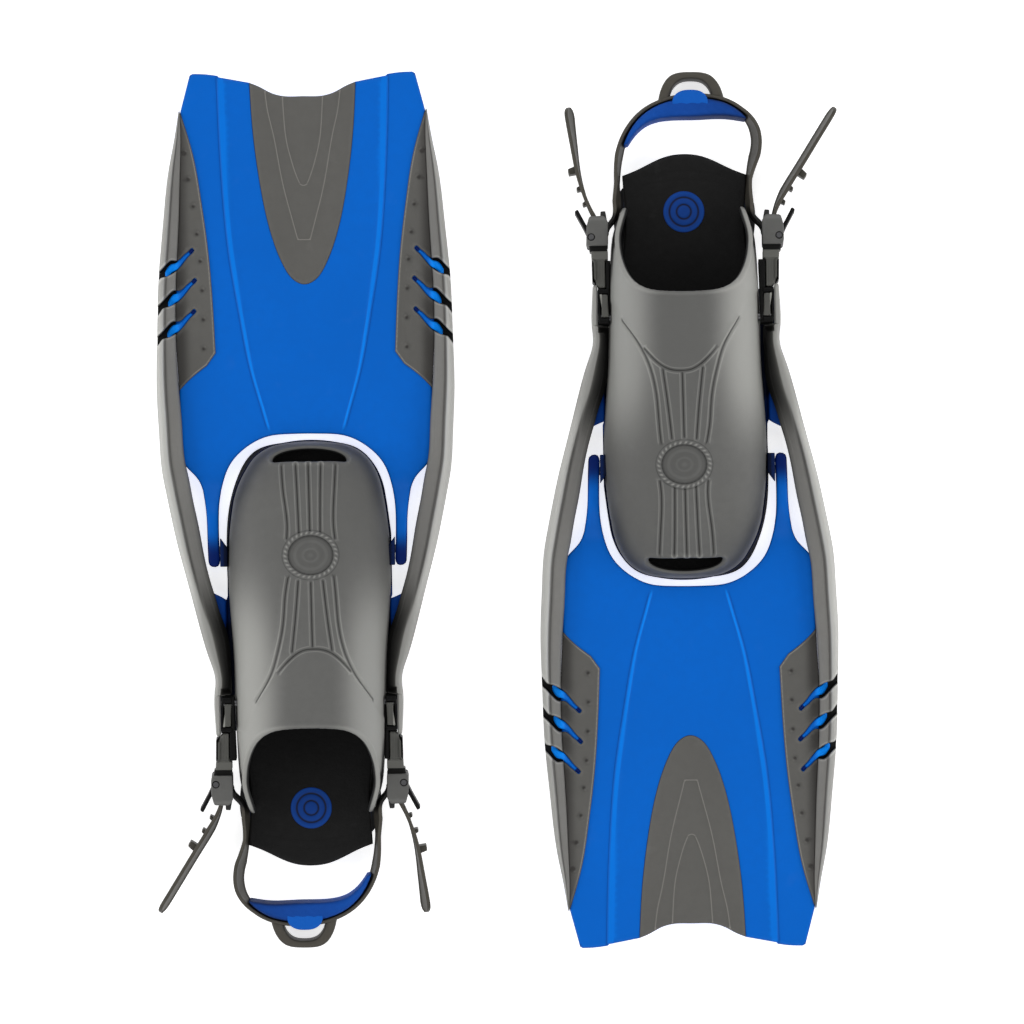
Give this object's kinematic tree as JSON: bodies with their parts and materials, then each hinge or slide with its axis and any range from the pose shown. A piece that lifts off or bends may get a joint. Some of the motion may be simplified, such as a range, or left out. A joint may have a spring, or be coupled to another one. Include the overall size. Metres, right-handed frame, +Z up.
{
  "type": "swim fins",
  "caption": "Open-heel swim fins with pivoting blades, flexing side rails, closed foot pockets and swinging buckled heel straps.",
  "frame": {"origin": "on the floor, midway between the two fins, at the bottom centre of their box", "axes": "+Y along the first fin from heel to blade tip, +X from the first fin to the second, +Z up"},
  "size_m": [0.4942, 0.6326, 0.0847],
  "materials": {
    "pocket_rubber": "satin moulded",
    "frame_plastic": "satin moulded",
    "sole_rubber": "matte",
    "footbed_foam": "matte grained",
    "pin_steel": "brushed",
    "blade_plastic": "satin moulded",
    "insert_rubber": "matte",
    "panel_rubber": "matte",
    "rail_rubber": "satin moulded",
    "buckle_black": "fine grain",
    "buckle_grey": "fine grain",
    "buckle_head": "fine grain",
    "strap_rubber": "satin moulded",
    "pad_foam": "matte"
  },
  "bodies": {
    "foot_body_1": {"foot_pocket_1": "pocket_rubber", "foot_frame_1": "frame_plastic", "sole_pad_1": "sole_rubber", "footbed_1": "footbed_foam", "pivot_pins_1": "pin_steel", "strap_posts_1": "pin_steel", "rail_rear_left_1": "rail_rubber", "rail_rear_right_1": "rail_rubber"},
    "blade_body_1": {"blade_1": "blade_plastic", "blade_insert_1": "insert_rubber", "side_panel_left_1": "panel_rubber", "side_panel_right_1": "panel_rubber", "rail_front_left_1": "rail_rubber", "rail_front_right_1": "rail_rubber", "rail_flex_left_1": "rail_rubber", "rail_flex_right_1": "rail_rubber"},
    "strap_body_1": {"heel_strap_1": "strap_rubber", "heel_pad_1": "pad_foam", "lever_pins_1": "pin_steel", "buckle_frame_left_1": "buckle_black", "buckle_frame_right_1": "buckle_black", "buckle_tongue_left_1": "buckle_grey", "buckle_tongue_right_1": "buckle_grey", "buckle_head_left_1": "buckle_head", "buckle_head_right_1": "buckle_head"},
    "lever_body_left_1": {"release_lever_left_1": "buckle_black"},
    "button_body_left_1": {"release_button_left_1": "buckle_grey"},
    "lever_body_right_1": {"release_lever_right_1": "buckle_black"},
    "button_body_right_1": {"release_button_right_1": "buckle_grey"},
    "foot_body_2": {"foot_pocket_2": "pocket_rubber", "foot_frame_2": "frame_plastic", "sole_pad_2": "sole_rubber", "footbed_2": "footbed_foam", "pivot_pins_2": "pin_steel", "strap_posts_2": "pin_steel", "rail_rear_left_2": "rail_rubber", "rail_rear_right_2": "rail_rubber"},
    "blade_body_2": {"blade_2": "blade_plastic", "blade_insert_2": "insert_rubber", "side_panel_left_2": "panel_rubber", "side_panel_right_2": "panel_rubber", "rail_front_left_2": "rail_rubber", "rail_front_right_2": "rail_rubber", "rail_flex_left_2": "rail_rubber", "rail_flex_right_2": "rail_rubber"},
    "strap_body_2": {"heel_strap_2": "strap_rubber", "heel_pad_2": "pad_foam", "lever_pins_2": "pin_steel", "buckle_frame_left_2": "buckle_black", "buckle_frame_right_2": "buckle_black", "buckle_tongue_left_2": "buckle_grey", "buckle_tongue_right_2": "buckle_grey", "buckle_head_left_2": "buckle_head", "buckle_head_right_2": "buckle_head"},
    "lever_body_left_2": {"release_lever_left_2": "buckle_black"},
    "button_body_left_2": {"release_button_left_2": "buckle_grey"},
    "lever_body_right_2": {"release_lever_right_2": "buckle_black"},
    "button_body_right_2": {"release_button_right_2": "buckle_grey"}
  },
  "joints": [
    {"name": "blade_pivot_1", "type": "hinge", "parent": "foot_body_1", "child": "blade_body_1", "pos_m": [-0.137, -0.027, 0.016], "axis": [1, 0, 0], "range_deg": [-12, 12], "stiffness_Nm_per_rad": 25, "deforming": ["rail_flex_left_1", "rail_flex_right_1"]},
    {"name": "strap_swing_1", "type": "hinge", "parent": "foot_body_1", "child": "strap_body_1", "pos_m": [-0.137, -0.137, 0.03], "axis": [-1, 0, 0], "range_deg": [0, 90]},
    {"name": "lever_left_1", "type": "hinge", "parent": "strap_body_1", "child": "lever_body_left_1", "pos_m": [-0.2045, -0.19359, 0.02322], "axis": [0, 0.119, -0.9929], "range_deg": [0, 20], "stiffness_Nm_per_rad": 0.02, "springref_deg": -11.46},
    {"name": "button_left_1", "type": "slide", "parent": "strap_body_1", "child": "button_body_left_1", "axis": [0, 0.119, -0.9929], "range_m": [0, 0.0012], "stiffness_N_per_m": 300, "springref_m": -0.0004},
    {"name": "lever_right_1", "type": "hinge", "parent": "strap_body_1", "child": "lever_body_right_1", "pos_m": [-0.0695, -0.19359, 0.02322], "axis": [0, -0.119, 0.9929], "range_deg": [0, 20], "stiffness_Nm_per_rad": 0.02, "springref_deg": -11.46},
    {"name": "button_right_1", "type": "slide", "parent": "strap_body_1", "child": "button_body_right_1", "axis": [0, 0.119, -0.9929], "range_m": [0, 0.0012], "stiffness_N_per_m": 300, "springref_m": -0.0004},
    {"name": "blade_pivot_2", "type": "hinge", "parent": "foot_body_2", "child": "blade_body_2", "pos_m": [0.137, 0.027, 0.016], "axis": [-1, 0, 0], "range_deg": [-12, 12], "stiffness_Nm_per_rad": 25, "deforming": ["rail_flex_left_2", "rail_flex_right_2"]},
    {"name": "strap_swing_2", "type": "hinge", "parent": "foot_body_2", "child": "strap_body_2", "pos_m": [0.137, 0.137, 0.03], "axis": [1, 0, 0], "range_deg": [0, 90]},
    {"name": "lever_left_2", "type": "hinge", "parent": "strap_body_2", "child": "lever_body_left_2", "pos_m": [0.2045, 0.19359, 0.02322], "axis": [0, -0.119, -0.9929], "range_deg": [0, 20], "stiffness_Nm_per_rad": 0.02, "springref_deg": -11.46},
    {"name": "button_left_2", "type": "slide", "parent": "strap_body_2", "child": "button_body_left_2", "axis": [0, -0.119, -0.9929], "range_m": [0, 0.0012], "stiffness_N_per_m": 300, "springref_m": -0.0004},
    {"name": "lever_right_2", "type": "hinge", "parent": "strap_body_2", "child": "lever_body_right_2", "pos_m": [0.0695, 0.19359, 0.02322], "axis": [0, 0.119, 0.9929], "range_deg": [0, 20], "stiffness_Nm_per_rad": 0.02, "springref_deg": -11.46},
    {"name": "button_right_2", "type": "slide", "parent": "strap_body_2", "child": "button_body_right_2", "axis": [0, -0.119, -0.9929], "range_m": [0, 0.0012], "stiffness_N_per_m": 300, "springref_m": -0.0004},
    {"name": "second_fin_lift", "type": "slide", "parent": "foot_body_1", "child": "foot_body_2", "axis": [0, 0, 1], "range_m": [0, 0.3]}
  ]
}
